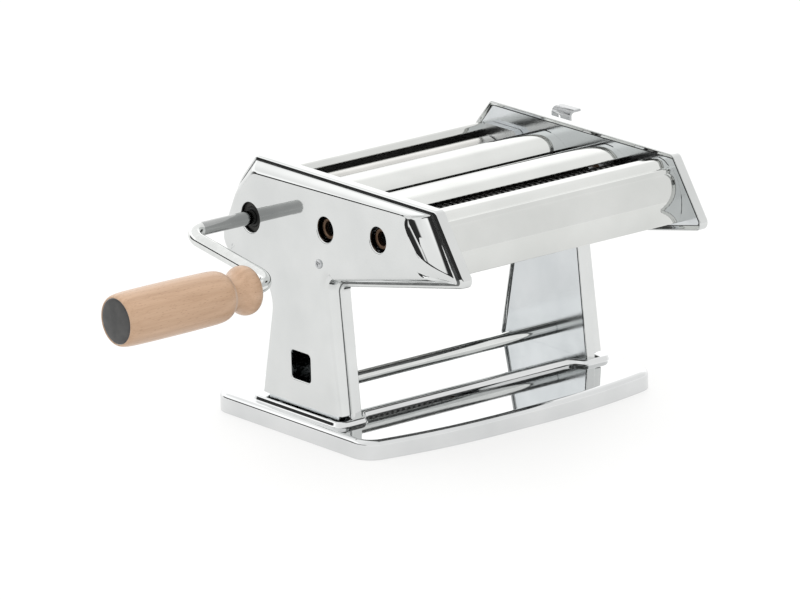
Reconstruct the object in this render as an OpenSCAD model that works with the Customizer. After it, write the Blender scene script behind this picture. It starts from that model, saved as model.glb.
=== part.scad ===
// Hand-cranked pasta machine: two pressed side housings on a base, smooth sheeting
// rollers at the back, a wide and a narrow cutter in front of them, a gap lever and a crank.
// Units are millimetres. X runs along the rollers (crank at -X), -Y is the front, Z is up.

/* [Housing] */
// Distance between the inner ends of the two side rims
rim_gap = 165; // [155:0.5:175]
// Depth of the rim that wraps the inner plate
rim_depth = 6.5; // [5:0.5:9]
// How far the pressed panel stands out from its flange
panel_depth = 7.5; // [6:0.5:12]
// Sheet thickness of the housings and the base
sheet = 1.2; // [0.8:0.1:2]
// Height of the top rim
top_z = 152.6; // [140:0.2:165]
// Thickness of the inner plates
plate_t = 2.5; // [2:0.1:4]
// Thickness of the covers
cover_t = 1; // [0.6:0.1:1.5]

/* [Base] */
// Half of the base length along the rollers
base_x = 106; // [95:0.5:120]
// Height of the base edge
base_h = 11.5; // [8:0.5:16]
// Height of the raised plateau
plateau_z = 14.5; // [12:0.5:20]

/* [Rollers] */
// Radius of the smooth rollers
roller_r = 15; // [13:0.25:16]
// Half length of the smooth rollers
roller_half = 78; // [70:0.5:79]
// Gap between the smooth rollers as shown
roll_gap = 1.1; // [1:0.05:1.2]
// Radius of the cutter rings
ring_r = 11; // [10.6:0.1:11.2]
// Radius of the grooves between the rings
groove_r = 8.6; // [8:0.1:8.8]
// Pitch of the wide cutter
wide_pitch = 13; // [12:0.5:14]
// Pitch of the narrow cutter
narrow_pitch = 4; // [3.5:0.5:5]

/* [Crank] */
// Radius of the crank rod
rod_r = 4; // [3.5:0.1:4.5]
// Crank radius from shaft to grip
crank_r = 61.28; // [49.76:0.48:74.72]
// Direction of the crank arm
crank_angle = 200; // [0:0.01:360]
// Where the arm stands along X
arm_x = -127; // [-140:1:-115]
// Length of the wooden grip
grip_len = 95.3; // [80:0.1:110]

/* [Gap lever] */
// Forward lean of the lever as shown
lean = 11; // [0:1:20]
// Eccentricity of the gap shaft
ecc = 2.14; // [1:0.01:3]

/* [Hidden] */
$fn = 64;
e = 0.01;
xi = rim_gap / 2;
xf = xi + rim_depth;
xo = xf + panel_depth;
pl0 = xi + 1;
pl1 = pl0 + plate_t;
// axes as [y, z]
A1 = [42.5, 118];
A2 = [A1[0] - 2 * roller_r - roll_gap, 118];
W1 = [-27, 125];
W2 = [-47, 126.6];
N1 = [-75, 129];
N2 = [-95, 130.6];
GS = [A2[0] - ecc * sin(lean), 96];
TR = [-5.8, 26.5];
UR = [[58, 97], [-61, 111], [-109, 115.8]];
SC = [-20.7, 103.7];

// ---- outline helpers ----
function unit(v) = v / norm(v);
function corner(a, p, b, r, n) =
    let (u = unit(a - p), v = unit(b - p), th = acos(max(-1, min(1, u * v))))
    th > 179.5 ? [for (i = [0:n]) p + (u * (n - i) + v * i) * r * 0.001] :
    let (t = r / tan(th / 2), c = p + unit(u + v) * r / sin(th / 2),
         s = p + u * t - c, q = p + v * t - c,
         a0 = atan2(s[1], s[0]), d0 = atan2(q[1], q[0]) - a0,
         d = d0 > 180 ? d0 - 360 : d0 < -180 ? d0 + 360 : d0)
    [for (i = [0:n]) c + r * [cos(a0 + d * i / n), sin(a0 + d * i / n)]];
function rpoly(P, R, n) = let (m = len(P))
    [for (i = [0:m - 1]) each corner(P[(i + m - 1) % m], P[i], P[(i + 1) % m], R[i], n)];
function nl(a, b) = let (u = unit(b - a)) [-u[1], u[0]];
function off(P, d) = let (m = len(P)) [for (i = [0:m - 1])
    let (a = nl(P[(i + m - 1) % m], P[i]), b = nl(P[i], P[(i + 1) % m])) P[i] + d * (a + b) / (1 + a * b)];
function offr(P, R, d) = let (m = len(P)) [for (i = [0:m - 1])
    let (u = P[i] - P[(i + m - 1) % m], v = P[(i + 1) % m] - P[i])
    u[0] * v[1] - u[1] * v[0] > 0 ? max(0.4, R[i] - d) : R[i] + d];
function inset(P, R, d, n) = rpoly(off(P, d), offr(P, R, d), n);
function mix(A, B, k) = [for (i = [0:len(A) - 1]) A[i] * (1 - k) + B[i] * k];
function path(P, R, n) = let (m = len(P))
    [P[0], for (i = [1:m - 2]) each corner(P[i - 1], P[i], P[i + 1], R[i], n), P[m - 1]];
function thick(Q, t) = let (m = len(Q))
    concat(Q, [for (k = [0:m - 1]) let (i = m - 1 - k,
        a = i == 0 ? nl(Q[0], Q[1]) : nl(Q[i - 1], Q[i]),
        b = i == m - 1 ? nl(Q[m - 2], Q[m - 1]) : nl(Q[i], Q[i + 1])) Q[i] + t * (a + b) / (1 + a * b)]);
function shift(Q, t) = let (m = len(Q)) [for (i = [0:m - 1])
    let (a = i == 0 ? nl(Q[0], Q[1]) : nl(Q[i - 1], Q[i]), b = i == m - 1 ? nl(Q[m - 2], Q[m - 1]) : nl(Q[i], Q[i + 1])) Q[i] + t * (a + b) / (1 + a * b)];
function arc(c, r, a0, a1, n) = [for (i = [0:n]) c + r * [cos(a0 + (a1 - a0) * i / n), sin(a0 + (a1 - a0) * i / n)]];

// ---- placement helpers ----
module ex(x0, x1) rotate([90, 0, 90]) translate([0, 0, x0]) linear_extrude(x1 - x0) children();
module cx(x0, x1, p, r) translate([min(x0, x1), p[0], p[1]]) rotate([0, 90, 0]) cylinder(h = abs(x1 - x0), r = r);
module bx(x0, x1, y0, y1, z0, z1) translate([x0, y0, z0]) cube([x1 - x0, y1 - y0, z1 - z0]);
module both() { children(); mirror([1, 0, 0]) children(); }
module turned(p) translate([0, p[0], p[1]]) rotate([0, 90, 0]) rotate_extrude() children();

// ---- housing outlines, as [y, z] ----
NA = 5;
FP = [[-38.93, 8], [42.7, 8], [26, 80.5], [62, 85.5], [80, 96], [62.5, 134.5], [46, top_z], [-118.2, top_z], [-144.6, 113.4], [-31, 90.7]];
FR = [0.5, 0.5, 16, 22, 13, 45, 5, 4, 4.5, 3.5];
GP = [[-36.5, 8], [37, 8], [20.5, 86.5], [60, 92], [71.5, 98.5], [54.8, 131], [39, top_z - 7.2], [-99.5, top_z - 4.4], [-123, 117], [-25.5, 95.8]];
GR = [0.5, 0.5, 20, 18, 10, 40, 8, 8, 6, 8];

// the part of a closed ring above the plateau, as an open path from the rear foot round to the front foot
function at_z(p, q, z) = p + (q - p) * (z - p[1]) / (q[1] - p[1]);
function above(Q) = let (k = 2 * NA + 2, n = len(Q))
    [at_z(Q[k - 1], Q[k], plateau_z), for (i = [k:n - 1]) Q[i], at_z(Q[n - 1], Q[0], plateau_z)];

// border of the pressed shell, open at the bottom: lofted through rings from the rim to the face and back along the inside
module border() {
    F = rpoly(FP, FR, NA);
    Fa = inset(FP, FR, 0.8, NA);
    Fb = inset(FP, FR, 2.5, NA);
    Fi = inset(FP, FR, sheet, NA);
    Fc = inset(FP, FR, 3.4, NA);
    G = rpoly(GP, GR, NA);
    rings = [[F, xi], [F, xf - 0.8], [Fa, xf], [Fb, xf], [mix(Fb, G, 0.3), xf + 2.2], [mix(Fb, G, 0.62), xo - 2.3],
        [mix(Fb, G, 0.86), xo - 0.6], [G, xo], [G, xo - sheet], [mix(Fc, G, 0.62), xo - 3.4], [mix(Fc, G, 0.2), xf + 0.6], [Fi, xf - sheet], [Fi, xi]];
    R = [for (g = rings) [for (p = above(g[0])) [g[1], p[0], p[1]]]];
    n = len(R[0]);
    m = len(R);
    polyhedron(
        points = [for (r = R) each r],
        faces = concat(
            [for (k = [0:m - 1]) each [for (i = [0:n - 2]) let (q = (k + 1) % m)
                each [[k * n + i, q * n + i + 1, k * n + i + 1], [k * n + i, q * n + i, q * n + i + 1]]]],
            [[for (k = [0:m - 1]) k * n + n - 1], [for (k = [0:m - 1]) (m - 1 - k) * n]]));
}

// one side's shell: the border with a flat face in it, cut by the children
module housing() {
    border();
    difference() {
        ex(xo - sheet, xo) polygon(above(rpoly(GP, GR, NA)));
        cx(xo - 4, xo + 4, SC, 2.2);
        children();
    }
}

module left_housing() color("Silver") mirror([1, 0, 0]) housing() {
    cx(xo - 6, xo + 5, A1, 8.8);
    cx(xo - 6, xo + 5, W1, 7.4);
    cx(xo - 6, xo + 5, N1, 7.4);
    bx(xo - 5, xo + 5, -7.1, 6, 30.7, 47.4);
    bx(xo - 5, xo + 5, -9.6, 8.5, 33.2, 44.9);
    for (y = [-7.1, 6], z = [33.2, 44.9]) cx(xo - 5, xo + 5, [y, z], 2.5);
}

module right_housing() color("Silver") housing() {
    cx(xo - 6, xo + 5, GS, 5.2);
    for (k = [-4:2]) cx(xo - 6, xo + 5, GS + 38 * [-sin(lean + k * 40 / 3), cos(lean + k * 40 / 3)], 1.6, $fn = 24);
}

// ---- inner plates ----
// outer lines of the covers
RC = path([[72, 105], [68.2, 117], [55, 140], [50, 133.2]], [0, 30, 2.5, 0], 5);
OC = arc([-4, 116], 28, 47.5, 133.2, 18);
CC = concat([[-45.6, 141]], arc([-58.5, 111.7], 35, 73, 121.9, 14));
FC = path([[-98, 143.8], [-100.4, 148], [-108.2, 148.2], [-119.6, 141.2], [-126.6, 126.6], [-121.6, 113.4], [-116, 112.6]], [0, 3, 10, 12, 28, 1.5, 0], 5);
// where covers, combs and scrapers carry end tabs: [y0, y1, z0, z1]
TABS = [[-8, 2, 141, 146], [-64, -54, 144, 148.5], [-113, -105, 145.2, 150.5], [-126, -121, 119, 130], [50.6, 54, 134.2, 138.6],
    [W1[0] + 12, W1[0] + 17, W1[1] - 10.8, W1[1] - 9.2], [W2[0] - 17, W2[0] - 12, W2[1] - 10.8, W2[1] - 9.2],
    [N1[0] + 12, N1[0] + 17, N1[1] - 10.8, N1[1] - 9.2], [N2[0] - 17, N2[0] - 12, N2[1] - 10.8, N2[1] - 9.2],
    [57, 63, 105.2, 106.8], [-7, -2, 105.2, 106.8]];

module inner_plate() difference() {
    union() {
        ex(pl0, pl1) intersection() {
            polygon(inset(FP, FR, sheet + 1.8, NA));
            translate([-200, plateau_z]) square([400, 200]);
        }
        bx(pl0, xo - 3, -31, 33, plateau_z, plateau_z + plate_t);
    }
    cx(pl0 - 1, pl1 + 1, A1, 8);
    cx(pl0 - 1, pl1 + 1, A2 + [-2.1, 0], 6.6);
    cx(pl0 - 1, pl1 + 1, A2 + [1.1, 0], 6.6);
    bx(pl0 - 1, pl1 + 1, A2[0] - 2.1, A2[0] + 1.1, A2[1] - 6.6, A2[1] + 6.6);
    for (p = [W1, W2, N1, N2]) cx(pl0 - 1, pl1 + 1, p, 7.4);
    cx(pl0 - 1, pl1 + 1, GS, rod_r + 0.05);
    cx(pl0 - 1, pl1 + 1, TR, 3.05);
    for (p = UR) cx(pl0 - 1, pl1 + 1, p, 2.55);
    cx(pl0 - 1, pl1 + 1, SC, 2.05);
    for (q = [[OC, 0], [CC, 1], [FC, 2], [FC, 3], [RC, 4]]) let (t = TABS[q[1]])
        ex(pl0 - 1, pl1 + 1) intersection() {
            polygon(thick(shift(q[0], -0.3), cover_t + 0.6));
            translate([t[0] - 0.3, t[2] - 0.3]) square([t[1] - t[0] + 0.6, t[3] - t[2] + 0.6]);
        }
    for (k = [5:10]) let (t = TABS[k]) bx(pl0 - 1, pl1 + 1, t[0] - 0.3, t[1] + 0.3, t[2] - 0.3, t[3] + 0.3);
    for (y = [25, 39]) cx(pl0 - 1, pl1 + 1, [y, 130], 2.05);
    for (y = [-22, 24]) translate([90.5, y, plateau_z - 1]) cylinder(h = 6, r = 2.6);
}
module left_inner_plate() color("LightSteelBlue") mirror([1, 0, 0]) inner_plate();
module right_inner_plate() color("LightSteelBlue") inner_plate();

// ---- base ----
BP = [[-base_x, -70.5], [-55, -81.5], [55, -81.5], [base_x, -70.5], [base_x, 70.5], [55, 81.5], [-55, 81.5], [-base_x, 70.5]];
BR = [14, 360, 360, 14, 14, 360, 360, 14];
LP = [[-100, -40.5], [-80.5, -40.3], [-76, -31], [76, -31], [80.5, -40.3], [100, -40.5], [100, 43.5], [80.5, 43.3], [76, 34], [-76, 34], [-80.5, 43.3], [-100, 43.5]];
LR = [4, 5, 7, 7, 5, 4, 4, 5, 7, 7, 5, 4];
module slab(P, R, d, z0, z1) translate([0, 0, z0]) linear_extrude(z1 - z0) polygon(inset(P, R, d, 8));

module base_plate() color("Gainsboro") difference() {
    union() {
        slab(BP, BR, 0, 0, base_h - 2.3);
        slab(BP, BR, 0.45, base_h - 2.4, base_h - 1);
        slab(BP, BR, 1.3, base_h - 1.1, base_h - 0.3);
        slab(BP, BR, 2.4, base_h - 0.4, base_h);
        slab(LP, LR, 0, base_h - 0.1, plateau_z - 0.8);
        slab(LP, LR, 0.6, plateau_z - 0.9, plateau_z - 0.3);
        slab(LP, LR, 1.5, plateau_z - 0.4, plateau_z);
    }
    slab(BP, BR, sheet + 0.2, -1, base_h - sheet - 1);
    slab(BP, BR, sheet + 2, -1, base_h - sheet);
    slab(LP, LR, sheet + 0.6, base_h - sheet - 0.1, plateau_z - sheet);
    both() for (y = [-22, 24]) translate([90.5, y, plateau_z - 4]) cylinder(h = 8, r = 2.6);
}

module rubber_feet() color("DimGray") for (sx = [-1, 1], sy = [-1, 1])
    translate([sx * 88, sy * 58, 0]) { cylinder(h = base_h - sheet, r = 7); }

module base_bolts() color("Gray") both() for (y = [-22, 24]) translate([90.5, y, 0]) {
    translate([0, 0, plateau_z - sheet - 3]) cylinder(h = 3, r = 4.2);
    translate([0, 0, plateau_z - sheet - 0.1]) cylinder(h = 9.3, r = 2.5);
}
module base_nuts() color("Gray") both() for (y = [-22, 24]) translate([90.5, y, plateau_z + plate_t]) difference() {
    cylinder(h = 4, r = 4.6, $fn = 6);
    translate([0, 0, -1]) cylinder(h = 6, r = 2.55);
}

// ---- tie rods and fasteners ----
module tie(p, r, s) { cx(-pl0, pl0, p, r); cx(-pl1 - 4, pl1 + 4, p, s); }
module lower_tie_rod() color("Silver") tie(TR, 4, 3);
module upper_tie_rods() color("Silver") for (p = UR) tie(p, 3.5, 2.5);
module hexnut(p, af, s, h) translate([pl1, p[0], p[1]]) rotate([0, 90, 0]) difference() {
    cylinder(h = h, r = af / sqrt(3), $fn = 6);
    translate([0, 0, -1]) cylinder(h = h + 2, r = s);
}
module tie_rod_nuts() color("Gray") both() {
    hexnut(TR, 10, 3.05, 4);
    for (p = UR) hexnut(p, 8, 2.55, 3.6);
}
module housing_screws() color("Gray") both() difference() {
    union() {
        cx(xo, xo + 0.8, SC, 2.75);
        cx(xo + 0.7, xo + 1.4, SC, 2.3);
        cx(pl0, xo + 0.1, SC, 2);
    }
    bx(xo + 0.5, xo + 3, SC[0] - 1.5, SC[0] + 1.5, SC[1] - 0.35, SC[1] + 0.35);
    bx(xo + 0.5, xo + 3, SC[0] - 0.35, SC[0] + 0.35, SC[1] - 1.5, SC[1] + 1.5);
}
module housing_standoffs() color("Gray") both() difference() {
    cx(pl1, xo - sheet, SC, 4);
    cx(pl1 - 1, xo, SC, 2.1);
}

// ---- covers, each a thin profile run between the inner plates with end tabs ----
module sheetpart(Q, tabs) {
    ex(-pl0 + 0.3, pl0 - 0.3) polygon(Q);
    for (t = tabs) both() ex(pl0 - 0.4, pl1) intersection() {
        polygon(Q);
        translate([t[0], t[2]]) square([t[1] - t[0], t[3] - t[2]]);
    }
}
module rear_cover() color("Silver")
    sheetpart(thick(RC, cover_t), [TABS[4]]);
module roller_cover() color("Silver")
    sheetpart(thick(OC, cover_t), [TABS[0]]);
module cutter_cover() color("Silver")
    sheetpart(thick(CC, cover_t), [TABS[1]]);
module front_cover() color("Silver") {
    sheetpart(thick(FC, cover_t),
        [TABS[2], TABS[3]]);
    cx(-pl0 + 0.3, pl0 - 0.3, [-115.8, 143.2], 1);
}
module side_guides() color("WhiteSmoke") both() {
    ex(roller_half + 0.6, pl0 - 0.3) polygon([[16, 130], [18, 128], [24, 113], [30, 113], [36, 126], [49, 129], [49, 136], [46, 140], [20, 140], [16, 137]]);
    for (y = [25, 39]) cx(pl0 - 0.4, pl1, [y, 130], 2);
}

// ---- scrapers and combs ----
module strip(y0, y1, z, tab) {
    bx(-pl0 + 0.3, pl0 - 0.3, y0, y1, z - 0.6, z + 0.6);
    both() bx(pl0 - 0.4, pl1, tab[0], tab[1], z - 0.6, z + 0.6);
}
module rear_scraper() color("Silver") strip(52.8, 66, 106, TABS[9]);
module front_scraper() color("Silver") strip(-8, -0.8, 106, TABS[10]);
// s is +1 when the spine lies behind the roll, -1 in front of it
module comb(p, s, pitch, x0, n, fw, tab) {
    z = p[1] - 10;
    y0 = s > 0 ? p[0] + 12 : p[0] - 17;
    strip(y0, y0 + 5, z, tab);
    for (i = [0:n - 1]) bx(x0 + pitch * i - fw / 2, x0 + pitch * i + fw / 2,
        s > 0 ? p[0] - 2 : p[0] - 12.1, s > 0 ? p[0] + 12.1 : p[0] + 2, z - 0.6, z + 0.6);
}
WA = -5.5 * wide_pitch;
NAX = -18.5 * narrow_pitch;
module wide_cutter_combs() color("Silver") {
    comb(W1, 1, wide_pitch, WA + wide_pitch / 2, 11, wide_pitch / 2 - 1.2, TABS[5]);
    comb(W2, -1, wide_pitch, WA, 12, wide_pitch / 2 - 1.2, TABS[6]);
}
module narrow_cutter_combs() color("Silver") {
    comb(N1, 1, narrow_pitch, NAX + narrow_pitch / 2, 37, narrow_pitch / 2 - 0.7, TABS[7]);
    comb(N2, -1, narrow_pitch, NAX, 38, narrow_pitch / 2 - 0.7, TABS[8]);
}

// ---- gears ----
function tooth(N, m, a) = let (q = 90 / N, rp = N * m / 2)
    [[rp - 1.2 * m, -1.3 * q], [rp - 0.5 * m, -1.06 * q], [rp, -0.86 * q], [rp + 0.5 * m, -0.58 * q], [rp + 0.85 * m, -0.36 * q],
     [rp + 0.85 * m, 0.36 * q], [rp + 0.5 * m, 0.58 * q], [rp, 0.86 * q], [rp - 0.5 * m, 1.06 * q], [rp - 1.2 * m, 1.3 * q]];
module gear2(N, m, a0) polygon([for (k = [0:N - 1]) each [for (t = tooth(N, m, 0)) t[0] * [cos(a0 + k * 360 / N + t[1]), sin(a0 + k * 360 / N + t[1])]]]);
module gear(p, N, m, a0, x0, x1, bore) difference() {
    translate([0, p[0], p[1]]) ex(x0, x1) gear2(N, m, a0);
    cx(x0 - 1, x1 + 1, p, bore);
}

// ---- smooth rollers ----
// blind drive socket: round, then a slot for the two flats at the bottom
module socket(p, xm) {
    cx(xm - 1, -84, p, rod_r + 0.08);
    bx(-85, -73, p[0] - 4.2, p[0] + 4.2, p[1] - 3.08, p[1] + 3.08);
}
module rear_roller() color("Silver") difference() {
    union() {
        cx(-roller_half, roller_half, A1, roller_r);
        cx(-xo + 1.7, pl1 + 3, A1, 6);
    }
    translate([0, A1[0], A1[1]]) rotate([crank_angle, 0, 0]) socket([0, 0], -xo);
}
module rear_roller_gear() color("Gray") gear(A1, 15, 2, 180, -94.4, -89.4, 6);
module front_roller() color("Silver") {
    cx(-roller_half, roller_half, A2, roller_r);
    cx(-94.4, pl1 + 4, A2, 6);
}
module front_roller_gear() color("Gray") gear(A2, 15, 2, 12, -94.4, -89.4, 6);
module roller_bushes() color("Goldenrod") both() difference() {
    union() { cx(pl0, pl1 + 1.5, A1, 8); cx(pl1, pl1 + 1.5, A1, 9.5); }
    cx(pl0 - 1, pl1 + 3, A1, 6.05);
}

// ---- gap mechanism ----
module block() difference() {
    bx(pl1 + 0.3, pl1 + 2.9, A2[0] - 10.3, A2[0] + 10.3, 84, 129);
    cx(pl1, pl1 + 4, A2, 6.05);
    bx(pl1, pl1 + 4, A2[0] - 6.8, A2[0] + 6.8, 86.6, 103);
}
module left_bearing_block() color("Goldenrod") mirror([1, 0, 0]) block();
module right_bearing_block() color("Goldenrod") block();
module carriage_guides() color("Gray") both() {
    bx(pl1, pl1 + 2.9, A2[0] - 15, A2[0] + 13, 129.3, 132.8);
    bx(pl1, pl1 + 2.9, A2[0] - 15, A2[0] + 13, 80.2, 83.7);
}
module gap_shaft() color("Silver") {
    cx(-pl1 - 4, xo + 6.3, GS, rod_r);
    both() cx(pl1 + 0.4, pl1 + 2.8, GS + ecc * [sin(lean), -cos(lean)], 6.5);
}
module gap_lever() color("Silver") translate([0, GS[0], GS[1]]) rotate([lean, 0, 0]) difference() {
    union() {
        cx(xo + 0.9, xo + 2.3, [0, 0], 9);
        ex(xo + 0.9, xo + 2.3) polygon([[-5.5, 0], [5.5, 0], [5.5, 37], [6.4, 44], [6.6, 48], [-10, 48], [-9.6, 46], [-5.5, 37]]);
        translate([0, -0.56, 55.2]) rotate([-12, 0, 0]) {
            bx(xo + 0.9, xo + 2.3, -8.25, 8.25, -9, e);
            translate([xo + 4.5, 8.25, 0]) rotate([90, 0, 0]) quarter_roll(3.6, 2.2, 16.5);
        }
        cx(xo + 0.4, xo + 1, [0, 38], 1.2);
    }
    cx(xo, xo + 6, [0, 0], rod_r);
    cx(xo, xo + 6, [0.9, 53.2], 1.7);
}
// quarter roll that carries the lever's thumb rest outward
module quarter_roll(ro, ri, l) {
    intersection() {
        difference() {
            cylinder(h = l, r = ro);
            translate([0, 0, -1]) cylinder(h = l + 2, r = ri);
        }
        translate([-20, 0, -2]) cube([20, 20, l + 4]);
    }
    translate([-e, ri, 0]) cube([4.7, ro - ri, l]);
}
module lever_cap_nut() color("Silver") difference() {
    union() {
        translate([xo + 2.3, GS[0], GS[1]]) rotate([0, 90, 0]) cylinder(h = 4.2, r = 7.2, $fn = 6);
        cx(xo + 2.3, xo + 7.8, GS, 5.2);
    }
    cx(xo + 1.3, xo + 6.3, GS, rod_r);
}

// ---- cutters ----
function castle(n, pitch, x0, w) = [[0, -75], [groove_r, -75],
    each [for (i = [0:n - 1]) let (c = x0 + pitch * i) each [[groove_r, c - w / 2], [ring_r, c - w / 2], [ring_r, c + w / 2], [groove_r, c + w / 2]]],
    [groove_r, 75], [0, 75]];
module roll(p, n, pitch, x0, w) turned(p) polygon(castle(n, pitch, x0, w));
module driven(p, n, pitch, x0, w) difference() {
    union() {
        roll(p, n, pitch, x0, w);
        cx(-xo + 3, 0, p, 6);
        cx(0, pl1 + 7, p, 5);
    }
    socket(p, -xo);
}
module idle(p, n, pitch, x0, w) {
    roll(p, n, pitch, x0, w);
    cx(-pl1 - 1, pl1 + 7, p, 5);
}
module wide_cutter_rear() color("Silver") driven(W1, 12, wide_pitch, WA, wide_pitch / 2 - 0.15);
module wide_cutter_front() color("Silver") idle(W2, 11, wide_pitch, WA + wide_pitch / 2, wide_pitch / 2 - 0.15);
module narrow_cutter_rear() color("Silver") driven(N1, 38, narrow_pitch, NAX, narrow_pitch / 2 - 0.15);
module narrow_cutter_front() color("Silver") idle(N2, 37, narrow_pitch, NAX + narrow_pitch / 2, narrow_pitch / 2 - 0.15);
PA = atan2(W2[1] - W1[1], W2[0] - W1[0]);
module wide_cutter_rear_gear() color("Gray") gear(W1, 16, 1.25, PA, pl1 + 1.8, pl1 + 6.8, 5);
module wide_cutter_front_gear() color("Gray") gear(W2, 16, 1.25, PA + 180 + 11.25, pl1 + 1.8, pl1 + 6.8, 5);
module narrow_cutter_rear_gear() color("Gray") gear(N1, 16, 1.25, PA, pl1 + 1.8, pl1 + 6.8, 5);
module narrow_cutter_front_gear() color("Gray") gear(N2, 16, 1.25, PA + 180 + 11.25, pl1 + 1.8, pl1 + 6.8, 5);
module bush(p, x1, r) difference() { cx(pl0, x1, p, 7.4); cx(pl0 - 1, x1 + 1, p, r); }
module cutter_bushes() color("Goldenrod") {
    mirror([1, 0, 0]) { for (p = [W1, N1]) bush(p, pl1 + 5, 6.05); for (p = [W2, N2]) bush(p, pl1 + 1, 5.05); }
    for (p = [W1, W2, N1, N2]) bush(p, pl1 + 1, 5.05);
}

// ---- crank and grip, in a frame whose y runs along the arm ----
GX = arm_x - 12.5;
module armframe() translate([0, A1[0], A1[1]]) rotate([crank_angle, 0, 0]) children();
// the arm leans back toward the side, 7 in 24
arm_len = (crank_r - 20.48) / 0.96;
bend_x = arm_x - 8 + 15.36 - 0.28 * arm_len;
module bend(wedge) intersection() {
    rotate_extrude() translate([8, 0]) circle(r = rod_r);
    translate([0, 0, -10]) linear_extrude(20) polygon(wedge);
}
module crank_rod() color("Silver") armframe() {
    difference() {
        cx(-74, bend_x, [0, 0], rod_r);
        for (s = [-1, 1]) bx(-84.5, -73, -10, 10, s > 0 ? 3 : -10, s > 0 ? 10 : -3);
    }
    translate([bend_x, 8, 0]) bend([[0, 0], [0, -30], [-40, -30], [-48, 14]]);
    translate([bend_x - 7.68, 10.24, 0]) rotate([0, 0, -asin(0.28)]) rotate([-90, 0, 0]) cylinder(h = arm_len, r = rod_r);
    translate([arm_x - 8, crank_r - 8, 0]) bend([[0, 0], [48, -14], [40, 30], [0, 30]]);
    cx(GX - grip_len + 7.6, arm_x - 8, [crank_r, 0], rod_r);
}
module grip_retainer() color("Gray") armframe() difference() {
    cx(GX - grip_len + 9, GX - grip_len + 10.5, [crank_r, 0], 6.5);
    cx(GX - grip_len + 8, GX - grip_len + 12, [crank_r, 0], rod_r);
}
module wooden_grip() color("BurlyWood") armframe() translate([GX, crank_r, 0]) rotate([0, -90, 0]) difference() {
    rotate_extrude() polygon([[0, 0], [8.5, 0], [10.5, 0.8], [12.6, 2.2], [13.8, 4.2], [14.2, 6.5], [13.9, 8.8], [12.9, 10.8], [11.6, 12.6], [10.8, 14.5],
        [10.5, 16.5], [10.8, 18.3], [11.8, 19.8], [13, 21], [14, 22.8], [14.8, 26], [15.3, 40], [15.5, 60], [15.5, 80], [15.3, 89], [14.9, grip_len - 2.5],
        [14.3, grip_len - 0.7], [13.75, grip_len], [0, grip_len]]);
    translate([0, 0, -1]) cylinder(h = grip_len + 2, r = rod_r + 0.08);
    translate([0, 0, grip_len - 13]) cylinder(h = 20, r = 7.2);
    translate([0, 0, grip_len - 5]) cylinder(h = 8, r = 13.2);
}
module grip_end_cap() color("DimGray") armframe() translate([GX, crank_r, 0]) rotate([0, -90, 0])
    rotate_extrude() polygon([[0, grip_len - 5], [13.2, grip_len - 5], [13.2, grip_len - 0.3], [12.6, grip_len + 0.1], [6, grip_len + 0.5], [0, grip_len + 0.6]]);

base_plate();
rubber_feet();
base_bolts();
base_nuts();
left_housing();
right_housing();
left_inner_plate();
right_inner_plate();
lower_tie_rod();
upper_tie_rods();
tie_rod_nuts();
housing_screws();
housing_standoffs();
rear_cover();
roller_cover();
cutter_cover();
front_cover();
side_guides();
rear_scraper();
front_scraper();
wide_cutter_combs();
narrow_cutter_combs();
rear_roller();
rear_roller_gear();
front_roller();
front_roller_gear();
roller_bushes();
left_bearing_block();
right_bearing_block();
carriage_guides();
gap_shaft();
gap_lever();
lever_cap_nut();
wide_cutter_rear();
wide_cutter_front();
narrow_cutter_rear();
narrow_cutter_front();
wide_cutter_rear_gear();
wide_cutter_front_gear();
narrow_cutter_rear_gear();
narrow_cutter_front_gear();
cutter_bushes();
crank_rod();
grip_retainer();
wooden_grip();
grip_end_cap();
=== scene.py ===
import math
import bpy
import bmesh
import numpy as np
from mathutils import Vector, Matrix
from mathutils.geometry import tessellate_polygon


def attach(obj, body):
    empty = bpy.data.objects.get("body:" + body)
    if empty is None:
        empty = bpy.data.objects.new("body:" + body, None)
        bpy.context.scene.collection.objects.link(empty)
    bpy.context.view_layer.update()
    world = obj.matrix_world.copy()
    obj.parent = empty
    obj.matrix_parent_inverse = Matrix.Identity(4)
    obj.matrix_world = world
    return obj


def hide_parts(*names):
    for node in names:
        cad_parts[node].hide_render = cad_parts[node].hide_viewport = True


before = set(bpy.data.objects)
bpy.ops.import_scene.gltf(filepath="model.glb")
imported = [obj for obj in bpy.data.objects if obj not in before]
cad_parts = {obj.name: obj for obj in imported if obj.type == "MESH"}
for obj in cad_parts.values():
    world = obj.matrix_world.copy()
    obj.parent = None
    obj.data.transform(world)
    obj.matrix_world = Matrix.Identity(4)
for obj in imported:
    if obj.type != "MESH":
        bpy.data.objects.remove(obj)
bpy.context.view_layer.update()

MM = 0.001
scene = bpy.context.scene


# ------------------------------------------------------------------ outlines
def V(*c):
    return np.array(c, float)


def unit(v):
    return v / np.linalg.norm(v)


def arc(c, r, a0, a1, n):
    a = np.radians(np.linspace(a0, a1, n + 1))
    return [V(c[0] + r * math.cos(t), c[1] + r * math.sin(t)) for t in a]


def corner(a, p, b, r, n):
    u, v = unit(a - p), unit(b - p)
    th = math.acos(max(-1.0, min(1.0, float(u @ v))))
    if th > math.radians(179.5):
        return [p + (u * (n - i) + v * i) * r * 0.001 for i in range(n + 1)]
    t = r / math.tan(th / 2)
    c = p + unit(u + v) * r / math.sin(th / 2)
    s, q = p + u * t - c, p + v * t - c
    a0 = math.atan2(s[1], s[0])
    d = math.atan2(q[1], q[0]) - a0
    d = d - 2 * math.pi if d > math.pi else d + 2 * math.pi if d < -math.pi else d
    return [c + r * V(math.cos(a0 + d * i / n), math.sin(a0 + d * i / n)) for i in range(n + 1)]


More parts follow.
